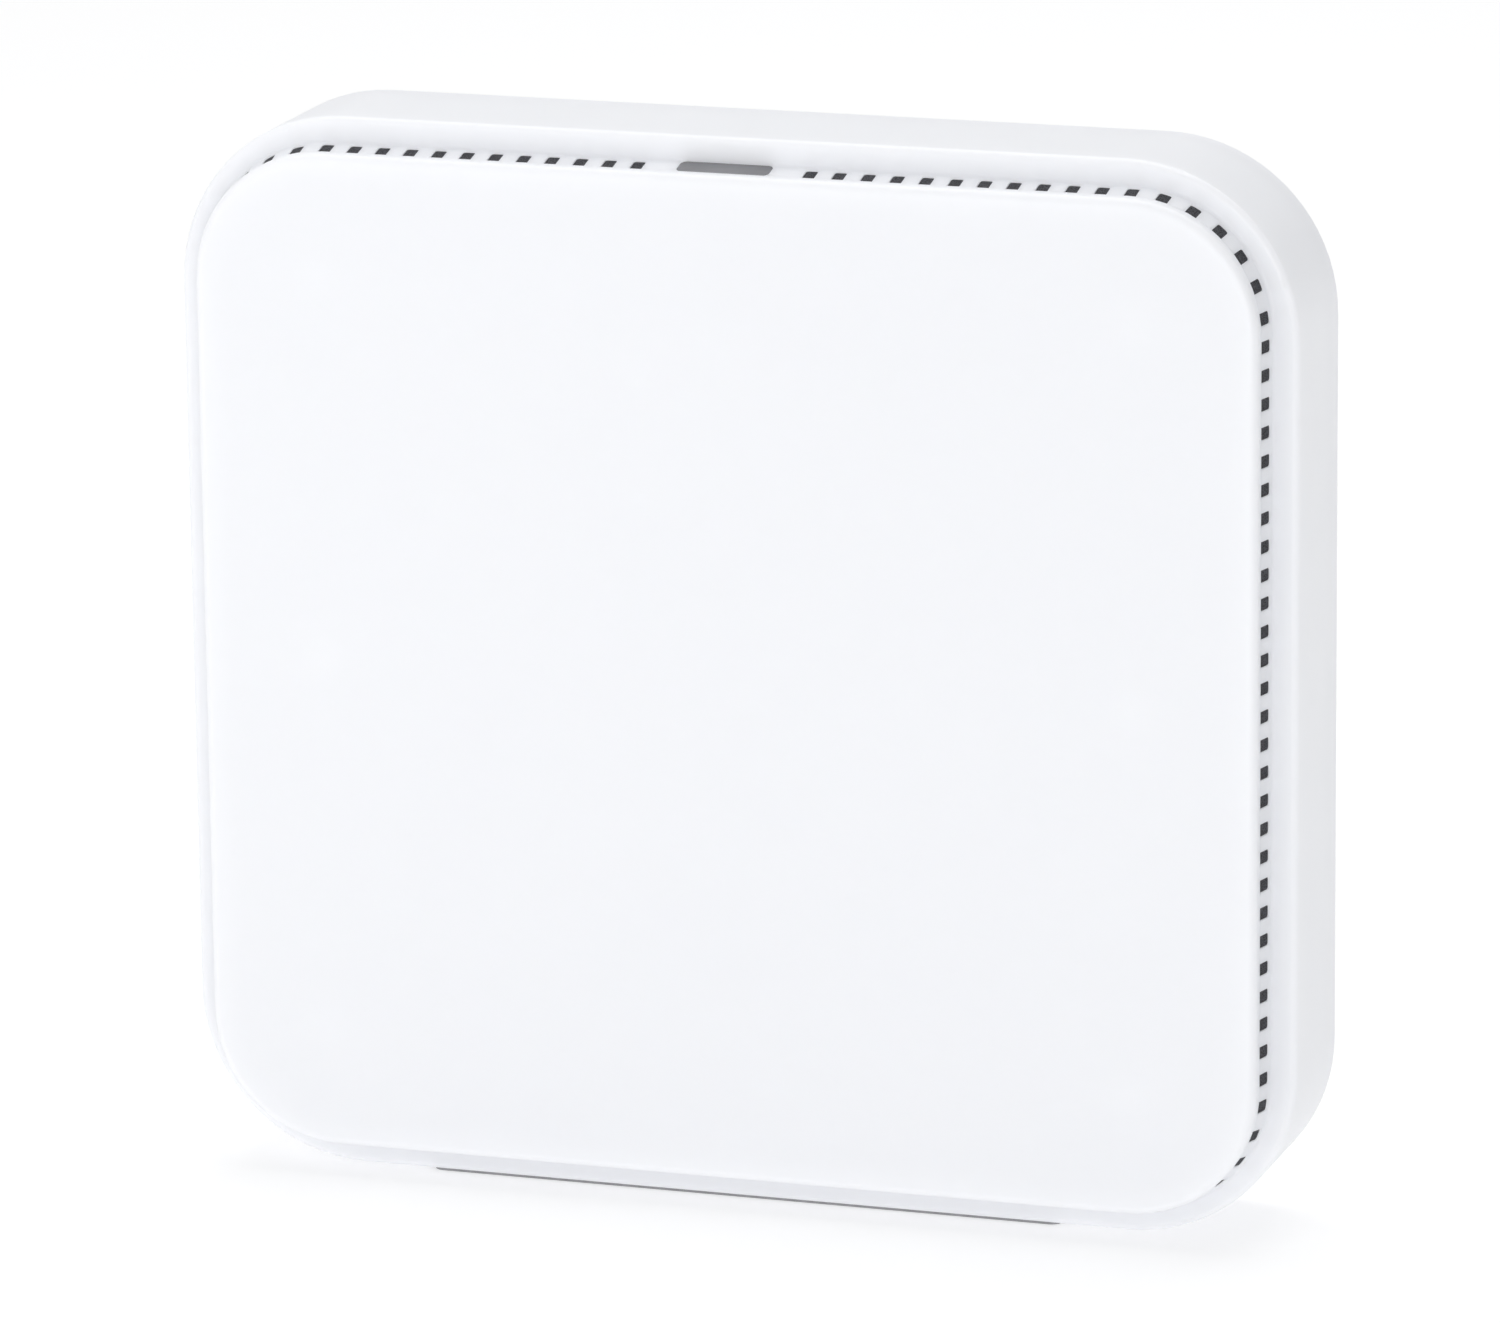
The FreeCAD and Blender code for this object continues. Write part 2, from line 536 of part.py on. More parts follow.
def power_socket():
    width, height = DC
    bore, pin_radius, depth = 3.15, 1.0, 11.0
    body = block(DC_X, PORT_Z, width, height, Y_BOARD_BACK, Y_PORT)
    body = body.makeFillet(0.4, edges_at(body, Y_PORT))
    PARTS["power_socket"] = body.cut(rod(DC_X, PORT_Z, bore, Y_PORT - depth, Y_PORT + 1))
    pin_end = Y_PORT - 1.2
    pin = rod(DC_X, PORT_Z, pin_radius, Y_PORT - depth, pin_end)
    PARTS["power_pin"] = pin.makeFillet(0.5, edges_at(pin, pin_end))
    sleeve = rod(DC_X, PORT_Z, bore, Y_PORT - 9, Y_PORT - 2).cut(rod(DC_X, PORT_Z, bore - 0.25, -1, Y_PORT))
    PARTS["power_sleeve"] = sleeve.cut(block(DC_X, PORT_Z + 3, 2.4, 3, -1, Y_PORT))


# ---------------------------------------------------------------- controls
def push_switch(x):
    """The fixed body of a push switch, with the well that its plunger sinks into."""
    well = rod(x, PORT_Z, PLUNGER + 0.15, Y_BOARD_BACK + 1.2, SWITCH_TOP + 1)
    return block(x, PORT_Z, 6.2, 6.2, Y_BOARD_BACK, SWITCH_TOP).cut(well)


def plunger(x):
    return rod(x, PORT_Z, PLUNGER, Y_BOARD_BACK + 2.2, PLUNGER_TOP)


def pair_button():
    crown, flange = Y_COVER - 0.2, Y_COVER_IN - 0.15
    cap = rod(PAIR_X, PORT_Z, PAIR_CAP, flange - 0.5, crown)
    cap = cap.makeFillet(0.6, edges_at(cap, crown))
    dish_radius, dish_depth = 18.0, 0.3
    dish = Part.makeSphere(dish_radius, V(PAIR_X, crown + dish_radius - dish_depth, PORT_Z))
    keeper = rod(PAIR_X, PORT_Z, PAIR_FLANGE, flange - 1.1, flange)
    stem = rod(PAIR_X, PORT_Z, 2.0, PLUNGER_TOP, flange - 1)
    ribs = [block(PAIR_X, PORT_Z, a, b, PLUNGER_TOP + 4, flange - 1) for a, b in ((7.0, 1.0), (1.0, 7.0))]
    return fuse([cap.cut(dish), keeper, stem] + ribs)


def controls():
    PARTS["push_switches"] = Part.makeCompound([push_switch(PAIR_X), push_switch(RESET_X)])
    PARTS["pair_plunger"] = plunger(PAIR_X)
    PARTS["pair_button"] = pair_button()
    reset_tip = rod(RESET_X, PORT_Z, 1.1, PLUNGER_TOP - 0.5, Y_COVER_IN - 3.0)
    PARTS["reset_plunger"] = fuse([plunger(RESET_X), reset_tip])

    base = block(SWITCH_X, PORT_Z, 10.0, 5.0, Y_BOARD_BACK, Y_BOARD_BACK + 3.5)
    track = block(SWITCH_X, PORT_Z, 5.8, 1.8, Y_BOARD_BACK + 1.5, Y_BOARD_BACK + 5)
    PARTS["battery_switch"] = base.cut(track)
    x = SWITCH_X - SWITCH_TRAVEL / 2
    slider_y, knob_y = Y_COVER_IN - 1.4, Y_COVER - 0.1
    blade = block(x, PORT_Z, 2.2, 1.5, Y_BOARD_BACK + 1.7, slider_y)
    leg = block(x, PORT_Z, 4.0, 3.0, Y_BOARD_BACK + 4.0, slider_y + 0.1)
    slider = block(x, PORT_Z, 6.0, 4.4, slider_y, Y_COVER_IN - 0.2)
    knob = stadium(x, PORT_Z, 2.3, 1.55, Y_COVER_IN - 0.3, knob_y)
    ridges = [block(x + k * 0.9, PORT_Z, 0.35, 5.0, knob_y - 0.3, knob_y + 1) for k in (-1, 0, 1)]
    PARTS["switch_knob"] = fuse([blade, leg, slider, knob]).cut(ridges)


# ---------------------------------------------------------------- electronics
def board():
    body = plate(*BOARD_HALF, 3.0, Y_BOARD, Y_BOARD_BACK)
    holes = [rod(x, z, 1.4, Y_BOARD - 1, Y_BOARD_BACK + 1) for x, z in board_screw_places()]
    PARTS["main_board"] = body.cut(holes)
    PARTS["board_screws"] = Part.makeCompound([
        screw(x, z, Y_BOARD_BACK, 2.3, 1.5, 0.9, 5.8) for x, z in board_screw_places()
    ])


def cooling():
    """The processor, its thermal pad, and the finned heat sink with its two spring pins."""
    x, z = PROCESSOR
    chip, pad = Y_BOARD_BACK + 1.6, Y_BOARD_BACK + 2.1
    base, fin_top = pad + 2.0, pad + 9.4
    fin_count, fin_pitch, fin = 9, 4.2, 1.1
    half_x, half_z = 18.0, 16.0
    PARTS["processor"] = block(x, z, 17, 17, Y_BOARD_BACK, chip)
    PARTS["thermal_pad"] = block(x, z, 16, 16, chip, pad)
    fins = [block(x + (k - (fin_count - 1) / 2) * fin_pitch, z, fin, 2 * half_z, base - 0.1, fin_top)
            for k in range(fin_count)]
    pins = [(x + side * (half_x + 1.2), z + side * (half_z - 2)) for side in (-1, 1)]
    lugs = [plate(3, 3, 2, pad, base, px, pz) for px, pz in pins]
    room = [block(px, pz, 6.4, 7, base, fin_top + 1) for px, pz in pins]
    holes = [rod(px, pz, 1.25, Y_BOARD_BACK, base + 1) for px, pz in pins]
    PARTS["heat_sink"] = fuse([plate(half_x, half_z, 1, pad, base, x, z)] + lugs + fins).cut(room + holes)
    PARTS["heat_sink_pins"] = Part.makeCompound([
        fuse([rod(px, pz, 1.15, Y_BOARD_BACK, base), rod(px, pz, 2.2, base, base + 1.2)]) for px, pz in pins
    ])


def chips():
    """Packages soldered to the board's back, as (x, z, width, height, thickness)."""
    memory = [(-46, -8, 9, 13, 1.1), (-46, 8, 9, 13, 1.1), (8, -8, 12, 8, 1.0)]
    small = [(20, -12, 5, 5, 0.9), (22, -24, 4, 4, 0.9), (-48, -32, 5, 6, 1.0), (8, 4, 4, 5, 0.9),
             (55, -20, 4, 4, 0.9)]
    for name, places in (("memory_chips", memory), ("small_chips", small)):
        PARTS[name] = Part.makeCompound([
            block(x, z, width, height, Y_BOARD_BACK, Y_BOARD_BACK + thick)
            for x, z, width, height, thick in places
        ])
    coils = [(30, -22), (40, -22), (5, -20)]
    PARTS["power_coils"] = Part.makeCompound([
        plate(3.2, 3.2, 0.8, Y_BOARD_BACK, Y_BOARD_BACK + 3.0, x, z) for x, z in coils
    ])
    cans = [(48, -32), (40, -32), (-28, -36), (50, -12)]
    PARTS["capacitors"] = Part.makeCompound([
        rod(x, z, 3.1, Y_BOARD_BACK, Y_BOARD_BACK + 7.5) for x, z in cans
    ])
    PARTS["ethernet_transformer"] = block(ETHERNET_X, -33, 16, 10, Y_BOARD_BACK, Y_BOARD_BACK + 5.6)


def shield_can(x, z, size_x, size_z, height):
    """A thin pressed lid over a radio section, with rows of vent holes."""
    columns, rows = 4, 3
    top = Y_BOARD_BACK + height
    can = plate(size_x / 2, size_z / 2, 1.0, Y_BOARD_BACK, top, x, z)
    hollow = plate(size_x / 2 - SHEET, size_z / 2 - SHEET, 0.7, Y_BOARD_BACK - 1, top - SHEET, x, z)
    hole_x = [x + (i - (columns - 1) / 2) * size_x / 5 for i in range(columns)]
    hole_z = [z + (j - (rows - 1) / 2) * size_z / 4 for j in range(rows)]
    holes = [rod(a, b, 0.6, Y_BOARD_BACK, top + 1) for a in hole_x for b in hole_z]
    return can.cut([hollow] + holes)


def radios():
    PARTS["wifi_shield"] = shield_can(*WIFI, 26, 20, 2.6)
    for name, (x, z) in (("zigbee_radio", ZIGBEE), ("zwave_radio", ZWAVE)):
        carrier = block(x, z, 16, 22, Y_BOARD_BACK, Y_BOARD_BACK + 0.8)
        lid = plate(7, 7.5, 0.8, Y_BOARD_BACK + 0.8, Y_BOARD_BACK + 2.8, x, z - 2.5)
        PARTS[name] = fuse([carrier, lid])


def antennas():
    """Flat antennas on the inside of the housing, and the coaxial leads that feed them."""
    thick, stand_off = 0.8, 0.2
    wall, top = WIDTH / 2 - WALL - stand_off, TOP - WALL - stand_off
    right = box(wall - thick, wall, *ANTENNA_Y, -6, 36)
    PARTS["antenna_right"] = right
    PARTS["antenna_left"] = flip_x(right)
    PARTS["antenna_top"] = box(14, 54, *ANTENNA_Y, top - thick, top)

    sockets = [(WIFI[0] + 16, WIFI[1] - 5), (WIFI[0] + 16, WIFI[1] + 5), (ZWAVE[0], ZWAVE[1] + 15)]
    lift = Y_BOARD_BACK + 2.1
    foot, post = Y_BOARD_BACK + 0.8, Y_BOARD_BACK + 1.2
    PARTS["antenna_sockets"] = Part.makeCompound([
        fuse([block(x, z, 3, 3, Y_BOARD_BACK, foot), rod(x, z, 0.7, Y_BOARD_BACK, post)]) for x, z in sockets
    ])
    feed, mid = 3.5, 0.5
    (ax, az), (bx, bz), (cx, cz) = sockets
    face, edge = wall - thick, BOARD_HALF[0] - 1.0
    routes = [
        [(ax, lift, az), (ax + 9, lift, az), (ax + 15, mid, az), (face - 4, feed, az + 2),
         (face - 4, feed, az + 9), (face, feed, az + 9)],
        [(bx, lift, bz), (edge, lift, bz), (edge, lift, 62), (4, lift, 64.5), (-54, lift, 63),
         (-64, lift, 54), (4 - face, feed, 44), (4 - face, feed, 30), (-face, feed, 30)],
        [(cx, lift, cz), (cx, lift, cz + 9), (cx - 4, mid, cz + 16), (cx - 4, feed, cz + 18),
         (cx - 4, feed, top - thick)],
    ]
    bend = 4.0
    plugs = [rod(x, z, 1.4, post, Y_BOARD_BACK + 3.0) for x, z in sockets]
    PARTS["antenna_leads"] = Part.makeCompound([
        fuse([plug, lead(route, LEAD, bend)]) for plug, route in zip(plugs, routes)
    ])


def battery():
    """The backup battery in the cover's tray, its foam pad, and the plug that joins it to the board."""
    half_x, half_z = BATTERY_HALF
    y0, y1 = BATTERY_Y
    cell = box(-half_x, half_x, y0, y1, BATTERY_Z - half_z, BATTERY_Z + half_z)
    along = [e for e in cell.Edges if e.BoundBox.XLength > 1]
    PARTS["battery"] = cell.makeFillet(2.4, along)
    PARTS["battery_pad"] = block(0, BATTERY_Z, 2 * half_x - 12, 2 * half_z - 12, y1, Y_COVER_IN)

    socket_x, socket_z = 36.0, 18.0
    y = Y_BOARD_BACK
    shell = block(socket_x, socket_z, 6, 8, y, y + 6)
    PARTS["battery_socket"] = shell.cut(block(socket_x - 1.5, socket_z, 5, 6, y + 1.5, y + 5))
    PARTS["battery_plug"] = block(socket_x - 1.5, socket_z, 4.6, 5.6, y + 1.6, y + 4.9)
    exit_z, plug_y = socket_z + 2.5, y + 3.2
    PARTS["battery_leads"] = Part.makeCompound([
        lead([(half_x, 6, exit_z + k), (half_x + 2.2, 6, exit_z + k), (half_x + 2.6, plug_y, socket_z + k),
              (socket_x - 3.8, plug_y, socket_z + k)], 0.55, 1.2)
        for k in (-1.2, 1.2)
    ])


def write_parts():
    os.makedirs("parts", exist_ok=True)
    lift = V(0, 0, TOP + FOOT_PROUD)
    for name, shape in PARTS.items():
        placed = shape.translated(lift)
        placed.exportStep(os.path.join("parts", name + ".step"))
        print(name, "valid" if placed.isValid() else "INVALID", len(placed.Solids), round(placed.Volume, 1))


casing()
status_light()
cover_parts()
ethernet_socket()
usb_socket()
power_socket()
controls()
board()
cooling()
chips()
radios()
antennas()
battery()
write_parts()
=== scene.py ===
"""Looks of the smart home hub: edges, materials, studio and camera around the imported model."""

import json
import math

import bpy
from mathutils import Matrix, Vector


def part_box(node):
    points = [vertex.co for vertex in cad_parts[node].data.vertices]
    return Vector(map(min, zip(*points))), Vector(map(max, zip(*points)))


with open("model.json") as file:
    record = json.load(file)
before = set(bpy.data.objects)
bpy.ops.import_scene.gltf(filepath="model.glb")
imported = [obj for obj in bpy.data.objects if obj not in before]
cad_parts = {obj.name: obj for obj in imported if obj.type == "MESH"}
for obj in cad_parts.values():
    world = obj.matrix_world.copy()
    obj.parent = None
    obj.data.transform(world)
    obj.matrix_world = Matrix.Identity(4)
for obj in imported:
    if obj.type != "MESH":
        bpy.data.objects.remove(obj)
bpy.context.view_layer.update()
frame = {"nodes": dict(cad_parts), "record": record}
NODES = frame["nodes"]
MM = 0.001


# ---------------------------------------------------------------- camera
AIM = Vector((2.33, -7.5, 77.51)) * MM
AZIMUTH, ELEVATION, ROLL = (math.radians(a) for a in (18.42, 14.32, -0.62))
DISTANCE = 1.315
LENS = 230.1


def make_camera():
    """A long lens in front of the hub, to its right and above it, tilted a little."""
    back = Vector((math.sin(AZIMUTH) * math.cos(ELEVATION), -math.cos(AZIMUTH) * math.cos(ELEVATION),
                   math.sin(ELEVATION)))
    level = Vector((math.cos(AZIMUTH), math.sin(AZIMUTH), 0))
    above = back.cross(level)
    right = math.cos(ROLL) * level + math.sin(ROLL) * above
    up = math.cos(ROLL) * above - math.sin(ROLL) * level
    data = bpy.data.cameras.new("camera")
    data.lens = LENS
    data.sensor_width = 36
    data.clip_start, data.clip_end = 0.01, 50
    camera = bpy.data.objects.new("camera", data)
    turned = Matrix((right, up, back)).transposed().to_4x4()
    camera.matrix_world = Matrix.Translation(AIM + back * DISTANCE) @ turned
    bpy.context.scene.collection.objects.link(camera)
    bpy.context.scene.camera = camera


# ---------------------------------------------------------------- materials
class Shader:
    """A material under construction: its node tree, its Principled shader and the coordinates in metres."""

    def __init__(self, name, colour, roughness, metallic=0.0, **sockets):
        self.material = bpy.data.materials.new(name)
        self.material.use_nodes = True
        self.tree = self.material.node_tree
        self.principled = self.tree.nodes["Principled BSDF"]
        self.place = self.tree.nodes.new("ShaderNodeTexCoord").outputs["Object"]
        self.colour = colour
        self.under = None
        self.material.diffuse_color = (*colour, 1)
        self.set(**{"Base Color": (*colour, 1), "Roughness": roughness, "Metallic": metallic}, **sockets)

    def set(self, **sockets):
        for name, value in sockets.items():
            self.principled.inputs[name.replace("_", " ")].default_value = value

    def add(self, kind, inputs=None, **settings):
        """A shader node with its settings, its inputs linked or set, by name or by number."""
        node = self.tree.nodes.new("ShaderNode" + kind)
        for name, value in settings.items():
            setattr(node, name, value)
        for name, value in (inputs or {}).items():
            if isinstance(value, bpy.types.NodeSocket):
                self.tree.links.new(value, node.inputs[name])
            else:
                node.inputs[name].default_value = value
        return node

    def math(self, operation, *values):
        return self.add("Math", dict(enumerate(values)), operation=operation).outputs[0]

    def link(self, output, socket):
        self.tree.links.new(output, self.principled.inputs[socket])

    def axes(self):
        return self.add("SeparateXYZ", {0: self.place}).outputs

    def noise(self, size, detail=3.0, stretch=(1, 1, 1)):
        """Noise whose features are about that size in metres, 0 to 1; stretch multiplies it per axis."""
        mapped = self.add("Mapping", {"Vector": self.place, "Scale": stretch}).outputs["Vector"]
        return self.add("TexNoise", {"Vector": mapped, "Scale": 1 / size, "Detail": detail}).outputs["Fac"]

    def cells(self, size, feature="F1", distance="EUCLIDEAN"):
        node = self.add("TexVoronoi", {"Vector": self.place, "Scale": 1 / size}, feature=feature)
        if feature != "DISTANCE_TO_EDGE":
            node.distance = distance
        return node.outputs["Distance"]

    def spread(self, value, low, high, start=0.3, end=0.7):
        """The value's stretch from start to end, mapped to run from low to high."""
        return self.add("MapRange", {"Value": value, "From Min": start, "From Max": end, "To Min": low,
                                     "To Max": high}).outputs["Result"]

    def vary(self, value, low, high):
        self.link(self.spread(value, low, high), "Roughness")

    def blend(self, value, first, second):
        """A colour between two, by a value from 0 to 1."""
        node = self.add("Mix", {0: value}, data_type="RGBA")
        for socket, colour in ((node.inputs[6], first), (node.inputs[7], second)):
            if isinstance(colour, bpy.types.NodeSocket):
                self.tree.links.new(colour, socket)
            else:
                socket.default_value = (*colour, 1)
        return node.outputs[2]

    def shade(self, factor):
        return tuple(min(1.0, c * factor) for c in self.colour)

    def tint(self, value, dark, light):
        """Base colour between two shades of the material's colour, by noise."""
        self.link(self.blend(self.spread(value, 0, 1), self.shade(dark), self.shade(light)), "Base Color")

    def bump(self, height, depth, strength=1.0):
        """Relief of that depth in metres, on top of any relief already there."""
        inputs = {"Height": height, "Distance": depth, "Strength": strength}
        if self.under is not None:
            inputs["Normal"] = self.under
        self.under = self.add("Bump", inputs).outputs["Normal"]
        self.link(self.under, "Normal")

    def edge(self, radius, gain=6.0):
        """1 on sharp outer and inner edges, fading to 0 within that radius."""
        rounded = self.add("Bevel", {"Radius": radius}, samples=4).outputs["Normal"]
        straight = self.add("NewGeometry").outputs["Normal"]
        match = self.add("VectorMath", {0: rounded, 1: straight}, operation="DOT_PRODUCT").outputs["Value"]
        return self.add("Math", {0: self.math("SUBTRACT", 1.0, match), 1: gain}, operation="MULTIPLY",
                        use_clamp=True).outputs[0]


def moulded(name, colour, roughness=0.45, grain=0.2 * MM, depth=0.003 * MM, cloud=0.01):
    """Satin moulded plastic: a fine spark-eroded grain, with a faint unevenness in shade and sheen."""
    shader = Shader(name, colour, roughness)
    shader.tint(shader.noise(30 * MM, 2), 1 - cloud, 1 + cloud)
    shader.vary(shader.noise(7 * MM, 4), roughness - 0.03, roughness + 0.04)
    shader.bump(shader.noise(grain, 2), depth)
    return shader


CASING = (0.905, 0.915, 0.96)


def casing(name, _):
    """The white casing: satin, faintly wavy from moulding, with light passing a little way into it."""
    shader = moulded(name, CASING, 0.40, grain=0.16 * MM, depth=0.0025 * MM, cloud=0.003)
    shader.bump(shader.noise(35 * MM, 0), 0.006 * MM)
    shader.set(Subsurface_Weight=0.5, Subsurface_Scale=0.003, Subsurface_Radius=(1.0, 0.98, 0.95))
    return shader


def metal(name, colour, roughness=0.28, lines=(1, 1, 1), wear=0.08):
    """Plated sheet or bare metal: fine lines along one axis, an uneven polish, brighter edges."""
    shader = Shader(name, colour, roughness, metallic=1.0)
    streaks = shader.noise(0.3 * MM, 4, lines)
    shader.vary(streaks, roughness - wear, roughness + wear)
    worn = shader.blend(shader.spread(shader.noise(3 * MM, 3), 0, 1), shader.shade(0.86), shader.shade(1.0))
    shader.link(shader.blend(shader.edge(0.15 * MM), worn, shader.shade(1.18)), "Base Color")
    shader.bump(streaks, 0.0015 * MM)
    return shader


def rubber(name, colour, roughness=0.8):
    shader = Shader(name, colour, roughness)
    dust = shader.noise(1.6 * MM, 5)
    shader.tint(dust, 0.9, 1.15)
    shader.vary(dust, roughness - 0.08, roughness + 0.08)
    shader.bump(shader.noise(0.12 * MM, 2), 0.012 * MM)
    return shader


def open_mesh(name, colour):
    """Dark reticulated mesh: round pores about a third of a millimetre across, deeper than the strands
    between them, with painted shade making the pores darker than the strands.
    """
    shader = Shader(name, colour, 0.75)
    pores = shader.cells(0.34 * MM, "DISTANCE_TO_EDGE")
    pore_depth_and_shade = shader.spread(pores, 0, 1, 0.04, 0.22)
    # painted shade: the pore centres get a much darker colour than the strands, standing in for shade in
    # the hollows
    shader.link(shader.blend(pore_depth_and_shade, shader.shade(1.9), shader.shade(0.35)), "Base Color")
    shader.bump(shader.math("SUBTRACT", 1.0, pore_depth_and_shade), 0.05 * MM)
    return shader


def smoked(name, colour):
    """Smoked translucent plastic with a polished skin, a little darker towards its ends."""
    shader = Shader(name, colour, 0.22, Coat_Weight=0.35, Coat_Roughness=0.12)
    x = shader.axes()["X"]
    middle = shader.spread(shader.math("ABSOLUTE", x), 1, 0, 1 * MM, 7 * MM)
    shader.link(shader.blend(middle, shader.shade(0.88), shader.shade(1.1)), "Base Color")
    shader.bump(shader.noise(1.5 * MM, 2), 0.002 * MM)
    return shader


def clear(name, colour):
    shader = Shader(name, colour, 0.12, Transmission_Weight=0.85, IOR=1.49)
    shader.bump(shader.noise(2 * MM, 2), 0.003 * MM)
    return shader


def film_label(name, colour):
    """A blank satin label with a thin printed frame and three rules."""
    shader = Shader(name, colour, 0.38, Coat_Weight=0.2)
    low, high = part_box("rating_label")
    centre, half = (low + high) / 2, (high - low) / 2
    axes = shader.axes()
    x = shader.math("ABSOLUTE", shader.math("SUBTRACT", axes["X"], centre.x))
    z = shader.math("SUBTRACT", axes["Z"], centre.z)
    margin, line = 2.0 * MM, 0.25 * MM
    reach = ((0, x), (2, shader.math("ABSOLUTE", z)))
    inside = [shader.math("SUBTRACT", half[i] - margin, value) for i, value in reach]
    nearest = shader.math("ABSOLUTE", shader.math("MINIMUM", *inside))
    marks = shader.math("LESS_THAN", nearest, line)
    for level in (-7, 0, 7):
        rule = shader.math("COMPARE", z, level * MM, line / 2)
        short = shader.math("LESS_THAN", x, half.x - 3 * margin)
        marks = shader.math("MAXIMUM", marks, shader.math("MULTIPLY", rule, short))
    shader.link(shader.blend(marks, colour, (0.30, 0.31, 0.33)), "Base Color")
    shader.vary(shader.noise(5 * MM, 3), 0.34, 0.44)
    shader.bump(shader.noise(0.5 * MM, 2), 0.001 * MM)
    return shader


def circuit(name, colour):
    """Green solder mask over copper: a raised pattern with square and slanted edges."""
    shader = Shader(name, colour, 0.3, Coat_Weight=0.3, Coat_Roughness=0.15)
    tracks = shader.spread(shader.cells(5 * MM, "F1", "MANHATTAN"), 0, 1, 0.42, 0.46)
    fine = shader.spread(shader.cells(1.7 * MM, "F1", "CHEBYCHEV"), 0, 1, 0.40, 0.44)
    copper = shader.math("MULTIPLY", tracks, fine)
    shader.link(shader.blend(copper, shader.shade(0.75), shader.shade(1.6)), "Base Color")
    shader.bump(copper, 0.03 * MM)
    return shader


def epoxy(name, colour):
    shader = Shader(name, colour, 0.5)
    shader.tint(shader.noise(2 * MM, 4), 0.85, 1.2)
    shader.vary(shader.noise(4 * MM, 3), 0.42, 0.56)
    shader.bump(shader.noise(0.1 * MM, 2), 0.006 * MM)
    return shader


def canned(name, colour):
    """A sleeved capacitor: dark sleeve round the sides, bare aluminium on the top."""
    shader = Shader(name, colour, 0.35)
    up = shader.add("SeparateXYZ", {0: shader.add("NewGeometry").outputs["Normal"]}).outputs["Y"]
    top = shader.math("GREATER_THAN", up, 0.8)
    shader.link(shader.blend(top, colour, (0.72, 0.72, 0.74)), "Base Color")
    shader.link(top, "Metallic")
    shader.vary(shader.noise(1 * MM, 3), 0.28, 0.42)
    return shader


def two_leads(name, colour):
    """A pair of insulated leads, one red above one black."""
    shader = rubber(name, colour, 0.45)
    low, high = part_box("battery_leads")
    upper = shader.math("GREATER_THAN", shader.axes()["Z"], (low.z + high.z) / 2)
    shader.link(shader.blend(upper, (0.02, 0.02, 0.02), colour), "Base Color")
    return shader


def copper_film(name, colour):
    """A flexible antenna: copper tracks a millimetre apart under an amber film."""
    shader = Shader(name, colour, 0.3, Coat_Weight=0.5)
    wave = shader.add("TexWave", {"Vector": shader.place, "Scale": 160.0}, bands_direction="DIAGONAL")
    tracks = shader.spread(wave.outputs["Fac"], 0, 1, 0.45, 0.55)
    shader.link(shader.blend(tracks, shader.shade(0.5), shader.shade(1.3)), "Base Color")
    shader.bump(tracks, 0.02 * MM)
    return shader


ALONG_Y, ALONG_Z = (1, 0.05, 1), (1, 1, 0.03)
FINISHES = {
    "casing_white": casing,
    "screen_black": open_mesh,
    "foot_rubber": rubber,
    "window_smoke": smoked,
    "guide_clear": clear,
    "led_body": lambda name, colour: moulded(name, colour, 0.25),
    "label": film_label,
    "screw_steel": lambda name, colour: metal(name, colour, 0.32),
    "socket_metal": lambda name, colour: metal(name, colour, 0.26, ALONG_Y),
    "socket_black": lambda name, colour: moulded(name, colour, 0.5, depth=0.006 * MM, cloud=0.1),
    "contact_gold": lambda name, colour: metal(name, colour, 0.22, ALONG_Y),
    "pin_metal": lambda name, colour: metal(name, colour, 0.2),
    "switch_black": lambda name, colour: moulded(name, colour, 0.5, cloud=0.1),
    "plunger": lambda name, colour: moulded(name, colour, 0.4),
    "button_grey": lambda name, colour: moulded(name, colour, 0.38, depth=0.005 * MM),
    "knob_black": lambda name, colour: moulded(name, colour, 0.42, depth=0.006 * MM, cloud=0.1),
    "board_green": circuit,
    "chip_black": epoxy,
    "pad_grey": rubber,
    "sink_aluminium": lambda name, colour: metal(name, colour, 0.36, ALONG_Z),
    "pin_plastic": lambda name, colour: moulded(name, colour, 0.5),
    "coil_grey": epoxy,
    "capacitor": canned,
    "can_metal": lambda name, colour: metal(name, colour, 0.3, (1, 1, 0.1)),
    "antenna_film": copper_film,
    "lead_black": lambda name, colour: rubber(name, colour, 0.5),
    "lead_red": two_leads,
    "battery_wrap": lambda name, colour: moulded(name, colour, 0.22, grain=1.5 * MM, depth=0.02 * MM),
    "foam": open_mesh,
    "socket_white": lambda name, colour: moulded(name, colour, 0.42),
}


# ---------------------------------------------------------------- the model's own pieces
SOFT_EDGE = {
    "housing": 0.10 * MM,
    "front_panel": 0.08 * MM,
    "rear_cover": 0.16 * MM,
    "vent_screen": 0.03 * MM,
}
FINE_EDGE = 0.05 * MM
WELD_GAP = 0.0005 * MM
SHARP = math.radians(35)


def soften_edges(name, node):
    """Joins a node's faces and rounds its sharp edges, so that they catch the light."""
    node.data.shade_smooth()
    weld = node.modifiers.new("weld", "WELD")
    weld.merge_threshold = WELD_GAP
    bevel = node.modifiers.new("bevel", "BEVEL")
    bevel.width = SOFT_EDGE.get(name, FINE_EDGE)
    bevel.segments = 2
    bevel.limit_method = "ANGLE"
    bevel.angle_limit = SHARP
    bevel.use_clamp_overlap = True
    bevel.miter_outer = "MITER_ARC"
    normals = node.modifiers.new("normals", "WEIGHTED_NORMAL")
    normals.mode = "FACE_AREA_WITH_ANGLE"
    normals.weight = 80


def dress_nodes():
    classes = {row["slot"]: row["base_color"][:3] for row in frame["record"]["materials"]}
    made = {slot: FINISHES[slot](slot, tuple(colour)).material for slot, colour in classes.items()}
    slots = {row["node"]: row["material_slot"] for row in frame["record"]["subparts"]}
    for name, node in NODES.items():
        node.data.materials.clear()
        node.data.materials.append(made[slots[name]])
        soften_edges(name, node)


# ---------------------------------------------------------------- studio
FLOOR = {"reach": 8.0, "shade": 0.61, "glow": 0.455}


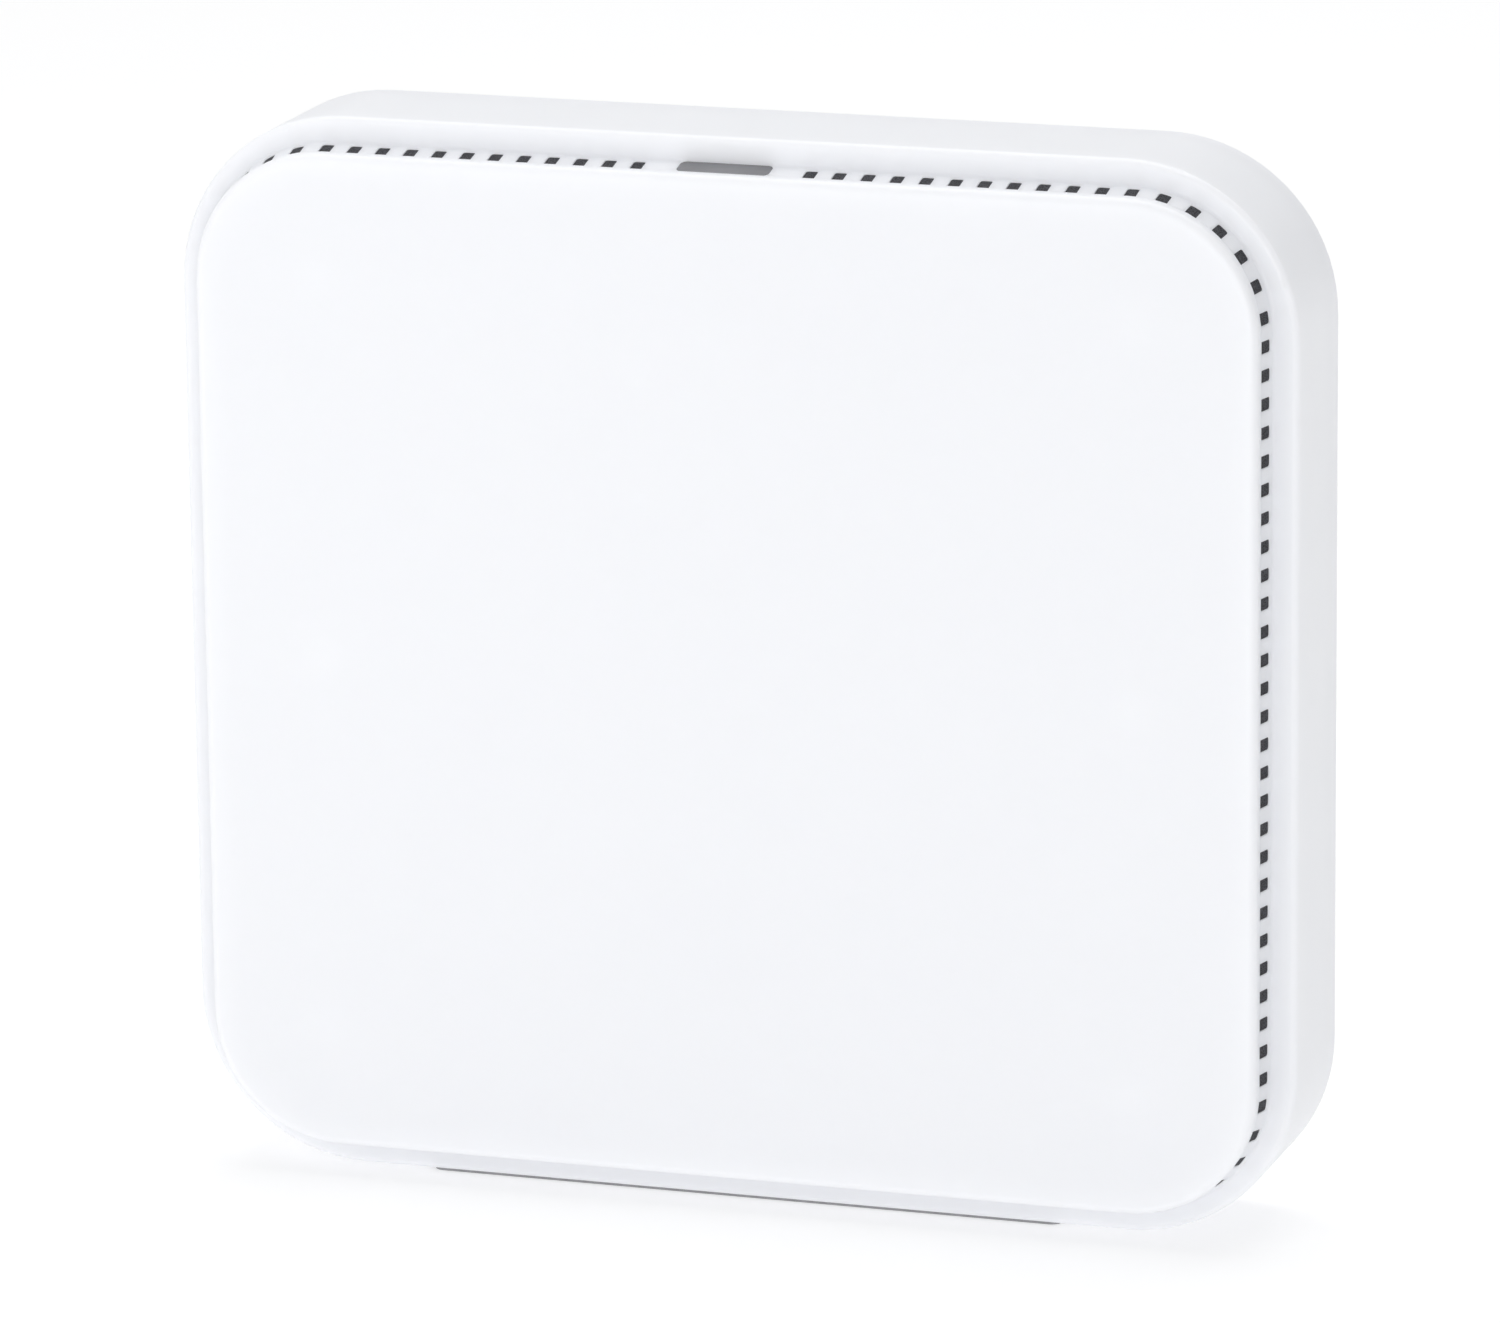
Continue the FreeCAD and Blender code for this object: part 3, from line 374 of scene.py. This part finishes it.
def make_floor():
    """A pale light table: a white sheet with a soft glow of its own, wide enough to fill the view."""
    reach = FLOOR["reach"]
    corners = [(x * reach, y * reach, 0) for x, y in ((-1, -1), (1, -1), (1, 1), (-1, 1))]
    mesh = bpy.data.meshes.new("floor")
    mesh.from_pydata(corners, [], [(0, 1, 2, 3)])
    floor = bpy.data.objects.new("floor", mesh)
    bpy.context.scene.collection.objects.link(floor)
    grey = (FLOOR["shade"],) * 3
    shader = Shader("floor", grey, 0.7, Emission_Color=(1, 1, 1, 1), Emission_Strength=FLOOR["glow"])
    shader.bump(shader.noise(4 * MM, 3), 0.01 * MM)
    mesh.materials.append(shader.material)


LAMP_AIM = Vector((0, 0, 0.07))


def area_light(name, place, size, power):
    """A white rectangular lamp, aimed at the middle of the hub."""
    data = bpy.data.lights.new(name, "AREA")
    data.shape = "RECTANGLE"
    data.size, data.size_y = size
    data.energy = power
    light = bpy.data.objects.new(name, data)
    light.location = place
    light.rotation_euler = (LAMP_AIM - Vector(place)).to_track_quat("-Z", "Y").to_euler()
    bpy.context.scene.collection.objects.link(light)


TENT = {"front": 0.54, "back": 0.52, "roof": 0.42, "right_flag": 0.18, "turn": 0.25}


def make_world():
    """A white tent: even in front, a little greyer low behind and at the right, brighter high behind."""
    world = bpy.data.worlds.new("tent")
    bpy.context.scene.world = world
    world.use_nodes = True
    tree = world.node_tree

    def reckon(operation, *values):
        node = tree.nodes.new("ShaderNodeMath")
        node.operation = operation
        for socket, value in zip(node.inputs, values):
            if isinstance(value, bpy.types.NodeSocket):
                tree.links.new(value, socket)
            else:
                socket.default_value = value
        return node.outputs[0]

    split = tree.nodes.new("ShaderNodeSeparateXYZ")
    tree.links.new(tree.nodes.new("ShaderNodeTexCoord").outputs["Generated"], split.inputs[0])
    right, ahead, up = (split.outputs[axis] for axis in "XYZ")
    turn = tree.nodes.new("ShaderNodeMapRange")
    turn.interpolation_type = "SMOOTHSTEP"
    tree.links.new(ahead, turn.inputs["Value"])
    turn.inputs["From Min"].default_value = -TENT["turn"]
    turn.inputs["From Max"].default_value = TENT["turn"]
    behind = turn.outputs["Result"]
    darker = reckon("MULTIPLY_ADD", reckon("MAXIMUM", up, 0.0), TENT["roof"], TENT["back"] - TENT["front"])
    strength = reckon("MULTIPLY_ADD", behind, darker, TENT["front"])
    strength = reckon("MULTIPLY_ADD", reckon("MAXIMUM", right, 0.0), -TENT["right_flag"], strength)
    tree.links.new(strength, tree.nodes["Background"].inputs["Strength"])
    tree.nodes["Background"].inputs["Color"].default_value = (0.985, 0.99, 1.0, 1)


def make_lights():
    """The tent, a broad lamp in front, one overhead and a small one at the upper left."""
    area_light("front", (0.45, -1.25, 0.24), (0.8, 0.4), 3.5)
    area_light("overhead", (0, 0.35, 1.35), (1.2, 1.2), 6.8)
    area_light("key", (-0.36, -0.42, 0.34), (0.3, 0.3), 0.58)
    make_world()
    bpy.context.scene.view_settings.view_transform = "Standard"


make_camera()
dress_nodes()
make_floor()
make_lights()
